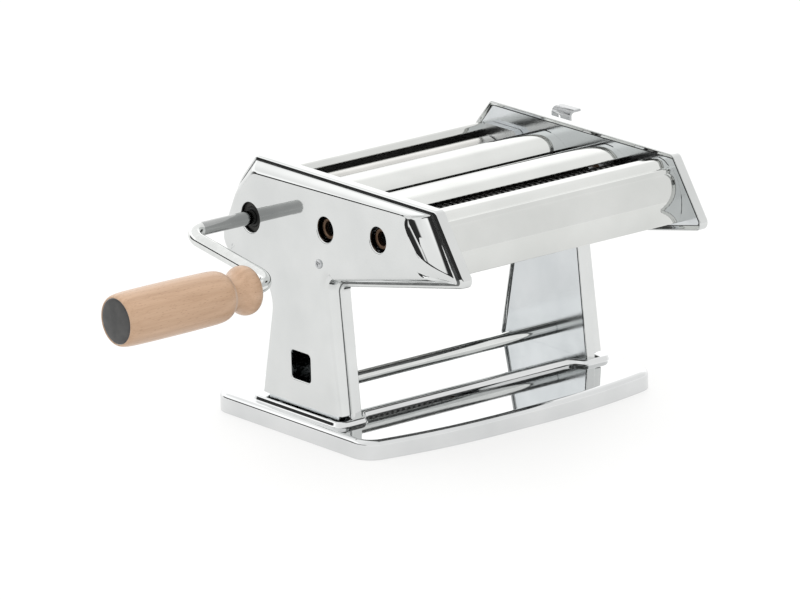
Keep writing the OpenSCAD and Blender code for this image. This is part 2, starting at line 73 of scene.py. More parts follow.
def rpoly(P, R, n, keep=0.7):
    """Rounded polygon; every corner carries a support point before and after its arc so straight runs shade flat."""
    P = [V(*p) for p in P]
    m = len(P)
    arcs = [corner(P[i - 1], P[i], P[(i + 1) % m], R[i], n) for i in range(m)]
    out = []
    for i in range(m):
        before, after = arcs[i - 1][-1], arcs[(i + 1) % m][0]
        a, b = arcs[i][0], arcs[i][-1]
        la, lb = np.linalg.norm(before - a), np.linalg.norm(after - b)
        out.append(a + (before - a) * min(0.3, keep / max(la, 1e-6)))
        out += arcs[i]
        out.append(b + (after - b) * min(0.3, keep / max(lb, 1e-6)))
    return out


def nl(a, b):
    u = unit(b - a)
    return V(-u[1], u[0])


def off(P, d):
    P = [V(*p) for p in P]
    m = len(P)
    out = []
    for i in range(m):
        a, b = nl(P[i - 1], P[i]), nl(P[i], P[(i + 1) % m])
        out.append(P[i] + d * (a + b) / (1 + float(a @ b)))
    return out


def offr(P, R, d):
    P = [V(*p) for p in P]
    m = len(P)
    out = []
    for i in range(m):
        u, v = P[i] - P[i - 1], P[(i + 1) % m] - P[i]
        out.append(max(0.4, R[i] - d) if u[0] * v[1] - u[1] * v[0] > 0 else R[i] + d)
    return out


def inset(P, R, d, n):
    return rpoly(off(P, d), offr(P, R, d), n)


def mix(A, B, k):
    return [a * (1 - k) + b * k for a, b in zip(A, B)]


def path(P, R, n):
    P = [V(*p) for p in P]
    out = [P[0]]
    for i in range(1, len(P) - 1):
        out += corner(P[i - 1], P[i], P[i + 1], R[i], n) if R[i] > 0 else [P[i]]
    return out + [P[-1]]


def support(Q, d=0.25, longer=1.0, closed=False):
    """Adds a point close to both ends of every long straight run."""
    out = []
    m = len(Q)
    for i in range(m if closed else m - 1):
        a, b = Q[i], Q[(i + 1) % m]
        out.append(a)
        ln = np.linalg.norm(b - a)
        if ln > longer:
            out += [a + (b - a) * d / ln, b - (b - a) * d / ln]
    if not closed:
        out.append(Q[-1])
    return out


def spline(P, per):
    """Smooth curve through the points (centripetal)."""
    P = [V(*p) for p in P]
    P = [2 * P[0] - P[1]] + P + [2 * P[-1] - P[-2]]
    out = []
    for i in range(1, len(P) - 2):
        p0, p1, p2, p3 = P[i - 1:i + 3]
        t0 = 0.0
        t1 = t0 + np.linalg.norm(p1 - p0) ** 0.5
        t2 = t1 + np.linalg.norm(p2 - p1) ** 0.5
        t3 = t2 + np.linalg.norm(p3 - p2) ** 0.5
        for k in range(per):
            t = t1 + (t2 - t1) * k / per
            a1 = (t1 - t) / (t1 - t0) * p0 + (t - t0) / (t1 - t0) * p1
            a2 = (t2 - t) / (t2 - t1) * p1 + (t - t1) / (t2 - t1) * p2
            a3 = (t3 - t) / (t3 - t2) * p2 + (t - t2) / (t3 - t2) * p3
            b1 = (t2 - t) / (t2 - t0) * a1 + (t - t0) / (t2 - t0) * a2
            b2 = (t3 - t) / (t3 - t1) * a2 + (t - t1) / (t3 - t1) * a3
            out.append((t2 - t) / (t2 - t1) * b1 + (t - t1) / (t2 - t1) * b2)
    out.append(P[-2])
    return out


# ------------------------------------------------------------------ materials
class Mat:
    def __init__(self, name):
        self.m = bpy.data.materials.new(name)
        self.m.use_nodes = True
        self.nt = self.m.node_tree
        self.nt.nodes.clear()
        o = self.nt.nodes.new("ShaderNodeOutputMaterial")
        self.b = self.nt.nodes.new("ShaderNodeBsdfPrincipled")
        self.nt.links.new(self.b.outputs[0], o.inputs[0])
        self.co = self.nt.nodes.new("ShaderNodeTexCoord").outputs["Object"]
        self.last_bump = None

    def set(self, **kw):
        for k, v in kw.items():
            self.b.inputs[k.replace("_", " ")].default_value = v
        return self

    def to(self, out, socket):
        self.nt.links.new(out, self.b.inputs[socket])

    def scaled(self, sx, sy, sz, rot=(0, 0, 0)):
        n = self.nt.nodes.new("ShaderNodeMapping")
        n.inputs["Scale"].default_value = (sx, sy, sz)
        n.inputs["Rotation"].default_value = rot
        self.nt.links.new(self.co, n.inputs["Vector"])
        return n.outputs[0]

    def noise(self, scale, detail=2.0, rough=0.5, vec=None, dist=0.0):
        n = self.nt.nodes.new("ShaderNodeTexNoise")
        n.inputs["Scale"].default_value = scale
        n.inputs["Detail"].default_value = detail
        n.inputs["Roughness"].default_value = rough
        n.inputs["Distortion"].default_value = dist
        self.nt.links.new(vec if vec is not None else self.co, n.inputs["Vector"])
        return n.outputs[0]

    def voronoi(self, scale, vec=None):
        n = self.nt.nodes.new("ShaderNodeTexVoronoi")
        n.inputs["Scale"].default_value = scale
        self.nt.links.new(vec if vec is not None else self.co, n.inputs["Vector"])
        return n.outputs["Distance"]

    def wave(self, scale, dist, detail, vec=None, direction="Y"):
        n = self.nt.nodes.new("ShaderNodeTexWave")
        n.bands_direction = direction
        n.inputs["Scale"].default_value = scale
        n.inputs["Distortion"].default_value = dist
        n.inputs["Detail"].default_value = detail
        self.nt.links.new(vec if vec is not None else self.co, n.inputs["Vector"])
        return n.outputs["Fac"]

    def ramp(self, fac, *stops):
        n = self.nt.nodes.new("ShaderNodeValToRGB")
        el = n.color_ramp.elements
        while len(el) < len(stops):
            el.new(0.5)
        for e, (p, c) in zip(el, stops):
            e.position = p
            e.color = (*c, 1) if len(c) == 3 else c
        self.nt.links.new(fac, n.inputs[0])
        return n.outputs[0]

    def remap(self, fac, a, b, c, d):
        n = self.nt.nodes.new("ShaderNodeMapRange")
        for i, v in enumerate((a, b, c, d)):
            n.inputs[i + 1].default_value = v
        self.nt.links.new(fac, n.inputs[0])
        return n.outputs[0]

    def mixc(self, fac, a, b, kind="MIX"):
        n = self.nt.nodes.new("ShaderNodeMix")
        n.data_type = "RGBA"
        n.blend_type = kind
        for sock, v in ((n.inputs[0], fac), (n.inputs[6], a), (n.inputs[7], b)):
            if isinstance(v, (int, float)):
                sock.default_value = v
            elif isinstance(v, tuple):
                sock.default_value = (*v, 1)
            else:
                self.nt.links.new(v, sock)
        return n.outputs[2]

    def add(self, a, b, kind="ADD"):
        n = self.nt.nodes.new("ShaderNodeMath")
        n.operation = kind
        for sock, v in ((n.inputs[0], a), (n.inputs[1], b)):
            if isinstance(v, (int, float)):
                sock.default_value = v
            else:
                self.nt.links.new(v, sock)
        return n.outputs[0]

    def bump(self, height, strength, distance):
        n = self.nt.nodes.new("ShaderNodeBump")
        n.inputs["Strength"].default_value = strength
        n.inputs["Distance"].default_value = distance
        self.nt.links.new(height, n.inputs["Height"])
        if self.last_bump is not None:
            self.nt.links.new(self.last_bump, n.inputs["Normal"])
        self.last_bump = n.outputs[0]
        self.nt.links.new(self.last_bump, self.b.inputs["Normal"])
        return self


def metal(name, lo, hi, r0, r1, wave=0.0, wave_scale=16.0, lines=None, grain=0.0, cloud=24.0):
    """Metal with cloudy tone, smudged roughness, slight sheet waviness and optional drawn lines along one axis."""
    M = Mat(name)
    M.set(Metallic=1.0)
    tone = M.noise(cloud, 3.0, 0.55)
    col = M.ramp(tone, (0.32, lo), (0.68, hi))
    smudge = M.noise(70.0, 4.0, 0.6, dist=0.4)
    rough = M.remap(smudge, 0.3, 0.72, r0, r1)
    if lines is not None:
        fine = M.noise(1.0, 3.0, 0.6, vec=M.scaled(*lines))
        rough = M.add(rough, M.remap(fine, 0.3, 0.7, -0.3 * r0, 0.45 * r0))
        col = M.mixc(M.remap(fine, 0.35, 0.65, 0.0, 0.22), col, tuple(0.72 * c for c in lo))
        M.bump(fine, 0.10, 0.0002)
    M.to(col, "Base Color")
    M.to(rough, "Roughness")
    if wave:
        M.bump(M.noise(wave_scale, 1.0, 0.4), wave, 0.002)
    if grain:
        M.bump(M.noise(1500.0, 2.0, 0.5), grain, 0.0002)
    return M.m


M_BASE = metal("chromed base", (0.675, 0.685, 0.688), (0.735, 0.742, 0.744), 0.030, 0.055, wave=0.035, wave_scale=11.0)
M_HOUSING = metal("chromed housing", (0.635, 0.648, 0.645), (0.695, 0.706, 0.702), 0.030, 0.055, wave=0.030, wave_scale=13.0)
M_COVER = metal("chromed cover", (0.635, 0.645, 0.630), (0.695, 0.703, 0.688), 0.040, 0.065, wave=0.025, wave_scale=15.0)
# near-black metal for the housing crease: painted shade where the chrome crease falls dark
M_CREASE_SHADE = metal("crease painted dark as shade", (0.10, 0.105, 0.105), (0.17, 0.175, 0.175), 0.22, 0.34, grain=0.12, cloud=120.0)
# inside of the covers: dull finish, and near-black as painted shade
M_SHADED_LINING = metal("dull inside of the covers, painted dark as shade", (0.075, 0.075, 0.072), (0.13, 0.13, 0.125), 0.48, 0.62, grain=0.1, cloud=90.0)
M_PLATE = metal("satin plated plate", (0.58, 0.605, 0.620), (0.65, 0.672, 0.685), 0.13, 0.19, wave=0.02, wave_scale=18.0, grain=0.03)
M_GUIDE = metal("plated guide", (0.62, 0.64, 0.655), (0.70, 0.71, 0.72), 0.18, 0.26, lines=(30, 900, 60))
M_ROLL = metal("ground roller", (0.54, 0.535, 0.515), (0.63, 0.622, 0.600), 0.10, 0.15, lines=(2600, 30, 30))
M_STEEL = metal("polished steel", (0.70, 0.715, 0.705), (0.78, 0.79, 0.78), 0.05, 0.10, wave=0.01, lines=(40, 500, 500))
# darker copy of the crank's polished steel for the shaft: painted shade
M_SHAFT_SHADE = metal("shaft steel, darker copy as painted shade", (0.36, 0.368, 0.366), (0.46, 0.468, 0.464), 0.07, 0.13, lines=(40, 500, 500))
M_LEVER = metal("satin steel lever", (0.42, 0.43, 0.44), (0.52, 0.53, 0.535), 0.14, 0.20, grain=0.05, cloud=60.0)
# cutters and comb strips: dark steel, made darker still as painted shade under the head
M_CUT_SHADED = metal("turned cutter, darkened as painted shade", (0.20, 0.20, 0.198), (0.29, 0.288, 0.285), 0.30, 0.40, lines=(3000, 40, 40))
M_ZINC = metal("zinc plated", (0.46, 0.475, 0.485), (0.56, 0.57, 0.58), 0.20, 0.32, grain=0.10, cloud=140.0)
M_SPRING_SHADED = metal("spring steel strip, darkened as painted shade", (0.20, 0.20, 0.20), (0.30, 0.30, 0.295), 0.30, 0.42, lines=(25, 900, 900))
# gears near-black: painted shade inside the housing
M_GEAR_SHADE = metal("gear steel painted near-black as shade", (0.030, 0.030, 0.029), (0.060, 0.058, 0.055), 0.34, 0.48, grain=0.12, cloud=180.0)
M_BRONZE = metal("sintered bronze", (0.110, 0.068, 0.045), (0.175, 0.115, 0.078), 0.40, 0.54, grain=0.25, cloud=260.0)
# near-black steel for the journal neck: painted shade in the housing hole
M_JOURNAL_SHADE = metal("journal painted black as shade", (0.022, 0.022, 0.022), (0.045, 0.045, 0.044), 0.40, 0.52, grain=0.1, cloud=200.0)


def make_rubber():
    M = Mat("black rubber")
    M.set(Metallic=0.0)
    M.to(M.ramp(M.noise(220.0, 4.0), (0.3, (0.018, 0.018, 0.019)), (0.7, (0.036, 0.036, 0.037))), "Base Color")
    M.to(M.remap(M.noise(90.0, 3.0), 0.3, 0.7, 0.58, 0.75), "Roughness")
    M.bump(M.noise(900.0, 3.0), 0.25, 0.0003)
    return M.m


def make_cap():
    M = Mat("grey moulded plastic")
    M.set(Metallic=0.0)
    M.to(M.ramp(M.noise(160.0, 3.0), (0.3, (0.034, 0.034, 0.034)), (0.7, (0.056, 0.055, 0.054))), "Base Color")
    M.to(M.remap(M.noise(260.0, 3.0), 0.3, 0.7, 0.34, 0.48), "Roughness")
    M.bump(M.noise(2200.0, 2.0), 0.12, 0.0002)
    return M.m


def make_beech():
    M = Mat("varnished beech")
    M.set(Metallic=0.0, Coat_Weight=0.35, Coat_Roughness=0.16)
    along = M.scaled(10.0, 120.0, 120.0, (0.12, 0.05, 0.10))
    broad = M.noise(1.0, 4.0, 0.55, vec=along, dist=0.6)
    rings = M.wave(5.5, 5.0, 3.0, vec=M.scaled(2.0, 16.0, 9.0, (0.35, 0.03, 0.06)), direction="Y")
    fibre = M.noise(1.0, 5.0, 0.65, vec=M.scaled(55.0, 1500.0, 1500.0))
    fleck = M.voronoi(1.0, vec=M.scaled(210.0, 1500.0, 1500.0))
    c = M.ramp(broad, (0.28, (0.435, 0.268, 0.162)), (0.5, (0.525, 0.335, 0.212)), (0.75, (0.60, 0.40, 0.265)))
    c = M.mixc(M.remap(rings, 0.15, 0.9, 0.0, 0.32), c, (0.41, 0.245, 0.140))
    c = M.mixc(M.remap(fibre, 0.35, 0.68, 0.0, 0.38), c, (0.635, 0.445, 0.305))
    c = M.mixc(M.remap(fleck, 0.10, 0.24, 0.55, 0.0), c, (0.245, 0.128, 0.065))
    M.to(c, "Base Color")
    M.to(M.remap(fibre, 0.3, 0.7, 0.36, 0.48), "Roughness")
    M.bump(fibre, 0.10, 0.0002)
    M.bump(M.remap(fleck, 0.08, 0.22, 0.0, 1.0), 0.12, 0.0002)
    return M.m


M_RUBBER, M_CAP, M_BEECH = make_rubber(), make_cap(), make_beech()


# ------------------------------------------------------------------ mesh building
def add(name, verts, faces, mat, body, nodes, sharp=36.0):
    me = bpy.data.meshes.new(name)
    me.from_pydata([(float(v[0]) * MM, float(v[1]) * MM, float(v[2]) * MM) for v in verts], [], [tuple(f) for f in faces])
    bm = bmesh.new()
    bm.from_mesh(me)
    bmesh.ops.remove_doubles(bm, verts=bm.verts[:], dist=2e-7)
    bmesh.ops.dissolve_degenerate(bm, edges=bm.edges[:], dist=1e-8)
    bmesh.ops.recalc_face_normals(bm, faces=bm.faces[:])
    lim = math.radians(sharp)
    for f in bm.faces:
        f.smooth = True
    for e in bm.edges:
        if len(e.link_faces) == 2 and e.calc_face_angle(0.0) > lim:
            e.smooth = False
    bm.to_mesh(me)
    bm.free()
    ob = bpy.data.objects.new(name, me)
    scene.collection.objects.link(ob)
    me.materials.append(mat)
    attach(ob, body)
    if nodes:
        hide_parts(*nodes)
    return ob


class Shape:
    """Vertex and face lists that several closed bodies can be gathered in."""

    def __init__(self):
        self.v, self.f = [], []

    def ring(self, pts):
        i = len(self.v)
        self.v += [tuple(p) for p in pts]
        return list(range(i, i + len(pts)))

    def strip(self, a, b, closed=True):
        n = len(a)
        for i in range(n if closed else n - 1):
            j = (i + 1) % n
            self.f.append((a[i], a[j], b[j], b[i]))

    def cap(self, outer, holes=(), plane=(0, 1)):
        """Fills a flat region between an outer loop and its holes."""
        loops = [outer, *holes]
        pts = [[Vector((self.v[i][plane[0]], self.v[i][plane[1]], 0.0)) for i in lp] for lp in loops]
        flat = [i for lp in loops for i in lp]
        for t in tessellate_polygon(pts):
            self.f.append(tuple(flat[k] for k in t))

    def lathe(self, prof, c, n=96, sign=1.0, x0=0.0):
        """Turns (axial, radius) points about an X axis through c = (y, z); the profile starts and ends on the axis or closes."""
        a = np.linspace(0, 2 * math.pi, n, endpoint=False)
        rings = []
        for s, r in prof:
            rings.append(self.ring([(x0 + sign * s, c[0] + r * math.cos(t), c[1] + r * math.sin(t)) for t in a]))
        for p, q in zip(rings, rings[1:]):
            self.strip(p, q)
        return rings

    def extrude(self, Q, x0, x1, chamfer=0.0):
        """Runs a closed [y, z] outline along X."""
        a = self.ring([(x0, p[0], p[1]) for p in Q])
        b = self.ring([(x1, p[0], p[1]) for p in Q])
        self.strip(a, b)
        self.cap(a, plane=(1, 2))
        self.cap(b, plane=(1, 2))


# ------------------------------------------------------------------ dimensions shared with the construction
xi, xf, xo, SHEET = 82.5, 89.0, 96.5, 1.2
A1, A2 = V(42.5, 118.0), V(11.4, 118.0)
W1, W2, N1, N2 = V(-27.0, 125.0), V(-47.0, 126.6), V(-75.0, 129.0), V(-95.0, 130.6)
LEAN, ECC = 11.0, 2.14
GS = V(11.4 - ECC * math.sin(math.radians(LEAN)), 96.0)
TR, SC = V(-5.8, 26.5), V(-20.7, 103.7)
UR = [V(58.0, 97.0), V(-61.0, 111.0), V(-109.0, 115.8)]
TOP, PLATEAU, BASE_H = 152.6, 14.5, 11.5
FP = [(-38.93, 8), (42.7, 8), (26, 80.5), (62, 85.5), (80, 96), (62.5, 134.5), (46, TOP), (-118.2, TOP), (-144.6, 113.4), (-31, 90.7)]
FR = [0.5, 0.5, 16, 22, 13, 45, 5, 4, 4.5, 3.5]
# foot of the pressed panel: as the rim's outline, with a broader flange along the front
FB = FP[:7] + [(-115.5, TOP), (-142.3, 112.9), (-31, 90.7)]
# shoulder of the panel, its foot run on below the plateau so that insets keep their lines
GP = [(-40.0, -20), (42.9, -20), (20.5, 86.5), (60, 92), (71.5, 98.5), (54.8, 131), (39, TOP - 7.2), (-99.5, TOP - 4.4), (-123, 117), (-25.5, 95.8)]
GR = [0.5, 0.5, 20, 18, 10, 40, 8, 8, 6, 8]
HR = [0.5, 0.5, 26, 12, 6, 36, 12, 20, 7, 14]
NA = 12


# ------------------------------------------------------------------ side housings
def above(Q, lift=0.0):
    """The run of a rounded ring of (y, z, x) points from the rear foot round the head to the front foot, cut level with the plateau or a little over it."""
    per = NA + 3
    keep = Q[2 * per:]

    def cut(p, q):
        return p + (q - p) * (PLATEAU + lift - p[1]) / (q[1] - p[1])
    lead, trail = cut(Q[2 * per - 1], Q[2 * per]), cut(Q[-1], Q[0])
    return [lead, *keep, trail]


def at(Q, x):
    xs = x if hasattr(x, "__len__") else [x] * len(Q)
    return [V(q[0], q[1], c) for q, c in zip(Q, xs)]


def reach(P, q):
    """Distance from a point to the nearest edge of an outline."""
    best = 1e9
    for a, b in zip(P, P[1:] + P[:1]):
        a, b = V(*a), V(*b)
        k = min(1.0, max(0.0, float((q - a) @ (b - a)) / float((b - a) @ (b - a))))
        best = min(best, float(np.linalg.norm(q - a - (b - a) * k)))
    return best


def housing(name, side, holes, node):
    S = Shape()
    Fb = inset(FB, FR, 2.7, NA)
    Fc = inset(FB, FR, 3.6, NA)
    G = rpoly(GP, GR, NA)
    H = rpoly(off(GP, 6.5), HR, NA)
    rings = [at(H, xo - SHEET), at(G, xo - SHEET - 0.55), at(mix(Fc, G, 0.62), xo - 3.9), at(mix(Fc, G, 0.2), xf + 0.4),
             at(inset(FP, FR, SHEET, NA), xf - 1.6), at(inset(FP, FR, SHEET, NA), xi + 1.9), at(inset(FP, FR, SHEET + 0.2, NA), xi + 1.6),
             at(inset(FP, FR, SHEET + 1.2, NA), xi + 1.5), at(inset(FP, FR, SHEET + 1.4, NA), xi + 1.3), at(inset(FP, FR, SHEET + 1.4, NA), xi + 1.1),
             at(inset(FP, FR, SHEET + 1.2, NA), xi + 0.9), at(inset(FP, FR, SHEET + 0.3, NA), xi + 0.55), at(inset(FP, FR, SHEET, NA), xi + 0.35)]
    for d, x in ((0.95, xi + 0.08), (0.6, xi), (0.25, xi + 0.08), (0.0, xi + 0.4), (0.0, xi + 0.7)):
        rings.append(at(inset(FP, FR, d, NA), x))
    # rolled shoulder of the rim, then the flange leaning outward a little
    rr, lean = 1.5, 74.0
    for a in np.linspace(0, lean, 9):
        t = math.radians(a)
        rings.append(at(inset(FP, FR, rr * (1 - math.cos(t)), NA), 87.1 + rr * math.sin(t)))
    foot, x0 = rings[-1], 87.1 + rr * math.sin(math.radians(lean))
    slope = math.tan(math.radians(90 - lean))
    end = at(Fb, [x0 + slope * max(0.0, reach(FP, q) - rr * (1 - math.cos(math.radians(lean)))) for q in Fb])
    for k in (0.12, 0.5, 0.88, 1.0):
        rings.append(mix(foot, end, k))
    crease = len(rings) - 1
    # pressed panel: concave foot, ramp, an edge at the shoulder, then a soft rise to the flat face
    xg = xo - 0.55
    prof = spline([(0.0, 0.0), (0.04, 0.028), (0.12, 0.13), (0.25, 0.32), (0.42, 0.56), (0.60, 0.765), (0.78, 0.91), (0.92, 0.978), (1.0, 1.0)], 3)
    # where the ramp is broad, along the front, it sweeps up in one soft curve instead
    wide = [float(np.linalg.norm(g - f[:2])) for f, g in zip(end, G)]
    rest = [float(np.linalg.norm(h - g)) for g, h in zip(G, H)]
    soft = []
    for i in range(len(G)):
        t = unit(G[(i + 1) % len(G)] - G[i - 1])
        w = min(1.0, max(0.0, (-t[1] - 0.30) / 0.40))
        soft.append(w * w * (3 - 2 * w))
    sweep = spline([(0.0, 0.0), (0.06, 0.025), (0.16, 0.13), (0.30, 0.34), (0.45, 0.575), (0.60, 0.775), (0.75, 0.910), (0.88, 0.975), (1.0, 1.0)], 6)
    su, sv = [q[0] for q in sweep], [q[1] for q in sweep]

    def raised(k, plane, x):
        row = []
        for i, q in enumerate(plane):
            u = k * wide[i] / (wide[i] + rest[i]) if k <= 1 else (wide[i] + (k - 1) * rest[i]) / (wide[i] + rest[i])
            xs = end[i][2] + (xo - end[i][2]) * float(np.interp(u, su, sv))
            row.append(V(q[0], q[1], x[i] * (1 - soft[i]) + xs * soft[i]))
        return row
    for k, h in prof[1:]:
        rings.append(raised(k, mix(Fb, G, k), [f[2] * (1 - h) + xg * h for f in end]))
    for k, h in ((0.03, 0.16), (0.075, 0.27), (0.13, 0.35), (0.25, 0.50), (0.42, 0.68), (0.65, 0.86), (0.88, 0.97), (1.0, 1.0)):
        rings.append(raised(1 + k, mix(G, H, k), [xg + 0.55 * h] * len(G)))
    # the panel stops short of the plateau; the rim stands on it
    gaps = [2.0, 2.0, 2.0, 1.0] + [0.0] * (crease - 3)
    gaps += [min(2.0, 0.5 * (i + 1)) for i in range(len(rings) - len(gaps))]
    idx = [S.ring([(side * p[2], p[0], p[1]) for p in above(Q, g)]) for Q, g in zip(rings, gaps)]
    # faces in the crease between the flange and the ramp get the near-black crease metal: painted shade
    crease_shade_faces = set()
    for i, (a, b) in enumerate(zip(idx, idx[1:])):
        first = len(S.f)
        S.strip(a, b, closed=False)
        if crease - 2 <= i <= crease:
            crease_shade_faces |= set(range(first, len(S.f)))
    S.cap([r[-1] for r in idx] + [r[0] for r in reversed(idx)])
    outer_holes, inner_holes = [], []
    for loop, lip in holes:
        out = S.ring([(side * xo, *p) for p in loop(lip + 0.5)])
        outer_holes.append(out)
        prev = out
        for a in np.linspace(0, 90, 6):
            t = math.radians(a)
            nxt = S.ring([(side * (xo - lip * (1 - math.cos(t))), *p) for p in loop(lip * (1 - math.sin(t)))])
            S.strip(prev, nxt)
            prev = nxt
        inn = S.ring([(side * (xo - SHEET), *p) for p in loop(0.0)])
        S.strip(prev, inn)
        inner_holes.append(inn)
    S.cap(idx[-1], outer_holes, plane=(1, 2))
    S.cap(idx[0], inner_holes, plane=(1, 2))
    ob = add(name, S.v, S.f, M_HOUSING, "chassis", [node], sharp=40)
    # second material on the crease faces: painted shade in the crease
    ob.data.materials.append(M_CREASE_SHADE)
    for i in crease_shade_faces:
        ob.data.polygons[i].material_index = 1
    return ob


def round_hole(c, r, n=56):
    return lambda d: [V(c[0] + (r + d) * math.cos(t), c[1] + (r + d) * math.sin(t)) for t in np.linspace(0, 2 * math.pi, n, endpoint=False)]


def window(y0, y1, z0, z1, r):
    return lambda d: rpoly([(y0 - d, z0 - d), (y1 + d, z0 - d), (y1 + d, z1 + d), (y0 - d, z1 + d)], [r + d] * 4, 6, keep=0.5)


housing("crank_side_housing", -1, [(round_hole(A1, 8.8), 0.8), (round_hole(W1, 7.4), 0.8), (round_hole(N1, 7.4), 0.8),
                                   (window(-9.6, 8.5, 30.7, 47.4, 2.5), 0.8), (round_hole(SC, 2.2, 24), 0.2)], "left_housing")
index = [GS + 38 * V(-math.sin(math.radians(LEAN + k * 40 / 3)), math.cos(math.radians(LEAN + k * 40 / 3))) for k in range(-4, 3)]
housing("lever_side_housing", 1, [(round_hole(GS, 5.2, 40), 0.5), (round_hole(SC, 2.2, 24), 0.2)] + [(round_hole(p, 1.6, 24), 0.25) for p in index],
        "right_housing")

# ------------------------------------------------------------------ base
BP = [(-106, -70.5), (-55, -81.5), (55, -81.5), (106, -70.5), (106, 70.5), (55, 81.5), (-55, 81.5), (-106, 70.5)]
BR = [14, 360, 360, 14, 14, 360, 360, 14]
LP = [(-100, -40.5), (-80.5, -40.3), (-76, -31), (76, -31), (80.5, -40.3), (100, -40.5), (100, 43.5), (80.5, 43.3), (76, 34), (-76, 34),
      (-80.5, 43.3), (-100, 43.5)]
LR = [7, 5, 7, 7, 5, 7, 7, 5, 7, 7, 5, 7]


def base():
    S = Shape()
    b = lambda d, z: S.ring([(p[0], p[1], z) for p in inset(BP, BR, d, 14)])
    l = lambda d, z: S.ring([(p[0], p[1], z) for p in inset(LP, LR, d, 8)])
    skirt = [(3.2, 10.3), (2.1, 9.9), (1.4, 9.0), (1.4, 0.35), (1.1, 0.05), (0.7, 0.0), (0.3, 0.05), (0.0, 0.4), (0.0, 0.7), (0.0, 8.0)]
    for a in np.linspace(0, 90, 12):
        t = math.radians(a)
        skirt.append((3.1 * (1 - math.cos(t)), BASE_H - 3.1 + 3.1 * math.sin(t)))
    skirt.append((3.5, BASE_H))
    B = [b(*s) for s in skirt]
    step = [(-1.5, BASE_H)]
    for a in np.linspace(0, 70, 7):
        t = math.radians(a)
        step.append((-1.1 + 0.9 * math.sin(t), BASE_H + 0.9 * (1 - math.cos(t))))
    d1, z1 = step[-1]
    r1 = 1.2
    z2 = PLATEAU - r1 * (1 - math.cos(math.radians(70)))
    d2 = d1 + (z2 - z1) / math.tan(math.radians(70))
    step += [(d1 + (d2 - d1) * 0.15, z1 + (z2 - z1) * 0.15), (d1 + (d2 - d1) * 0.85, z1 + (z2 - z1) * 0.85)]
    for a in np.linspace(70, 0, 9):
        t = math.radians(a)
        step.append((d2 + r1 * (math.sin(math.radians(70)) - math.sin(t)), PLATEAU - r1 * (1 - math.cos(t))))
    step.append((step[-1][0] + 0.4, PLATEAU))
    L = [l(*s) for s in step]
    for r in (B, L):
        for p, q in zip(r, r[1:]):
            S.strip(p, q)
    S.cap(B[-1], [L[0]])
    S.cap(L[-1])
    u0, u1 = l(1.8, 10.3), l(1.8, PLATEAU - SHEET)
    S.strip(u0, u1)
    S.cap(u1)
    S.cap(B[0], [u0])
    return add("base_shell", S.v, S.f, M_BASE, "chassis", ["base_plate"], sharp=40)


base()


def feet():
    S = Shape()
    for sx in (-1, 1):
        for sy in (-1, 1):
            n = 48
            prof = [(0.0, 0.0), (4.6, 0.0), (4.9, 0.2), (5.2, 0.0), (6.2, 0.0), (6.7, 0.15), (7.0, 0.5), (7.0, 9.6), (6.7, 10.1), (6.0, 10.3), (0.0, 10.3)]
            rings = [S.ring([(sx * 88 + r * math.cos(t), sy * 58 + r * math.sin(t), z) for t in np.linspace(0, 2 * math.pi, n, endpoint=False)])
                     for r, z in prof]
            for p, q in zip(rings, rings[1:]):
                S.strip(p, q)
    return add("base_feet", S.v, S.f, M_RUBBER, "chassis", ["rubber_feet"], sharp=50)


feet()


# ------------------------------------------------------------------ covers
def sheet_profile(Q, t, bulge=None):
    """Closed outline of a bent sheet from its outer line, with rounded edges."""
    Q = support(Q, 0.3, 1.6)
    nrm = []
    for i in range(len(Q)):
        a = nl(Q[max(i - 1, 0)], Q[max(i, 1)])
        b = nl(Q[min(i, len(Q) - 2)], Q[min(i + 1, len(Q) - 1)])
        nrm.append((a + b) / (1 + float(a @ b)))
    inner = [q + t * n for q, n in zip(Q, nrm)]
    if bulge is not None:
        c, r = bulge
        Q = [q - n * r * max(0.0, 1 - (np.linalg.norm(q - c) / (1.7 * r)) ** 2) ** 1.5 for q, n in zip(Q, nrm)]

    def edge(p, q, d):
        m, h = (p + q) / 2, np.linalg.norm(q - p) / 2
        u = unit(q - p)
        return [m - u * h * math.cos(a) + d * h * 0.9 * math.sin(a) for a in np.linspace(0.35, math.pi - 0.35, 5)]
    end = edge(Q[-1], inner[-1], unit(Q[-1] - Q[-2]))
    start = edge(inner[0], Q[0], unit(Q[0] - Q[1]))
    return Q[1:-1] + end + inner[::-1][1:-1] + start


def cover(name, Q, node, bulge=None, tabs=()):
    S = Shape()
    prof = sheet_profile(Q, 1.0, bulge)
    S.extrude(prof, -83.47, 83.47)
    for y0, y1, z0, z1 in tabs:
        pts = [q for q in Q if y0 <= q[0] <= y1 and z0 <= q[1] <= z1]
        if len(pts) > 2:
            nn = [nl(a, b) for a, b in zip(pts, pts[1:])]
            nn.append(nn[-1])
            loop = [p + 0.1 * n for p, n in zip(pts, nn)] + [p + 0.9 * n for p, n in zip(pts[::-1], nn[::-1])]
            for s in (-1, 1):
                S.extrude(loop, s * 82.8, s * 86.0)
    ob = add(name, S.v, S.f, M_COVER, "chassis", [node], sharp=32)
    # the side turned to the rollers is left dull and painted near-black as shade
    ob.data.materials.append(M_SHADED_LINING)
    mid = np.array([(a + b) / 2 for a, b in zip(Q, Q[1:])])
    inward = np.array([nl(a, b) for a, b in zip(Q, Q[1:])])
    for f in ob.data.polygons:
        c, n = np.array(f.center)[1:] / MM, np.array(f.normal)[1:]
        if float(n @ inward[int(np.argmin(((mid - c) ** 2).sum(1)))]) > 0.6:
            f.material_index = 1
    return ob


def dense(Q, step):
    out = [Q[0]]
    for a, b in zip(Q, Q[1:]):
        k = max(1, int(math.ceil(np.linalg.norm(b - a) / step)))
        out += [a + (b - a) * i / k for i in range(1, k + 1)]
    return out


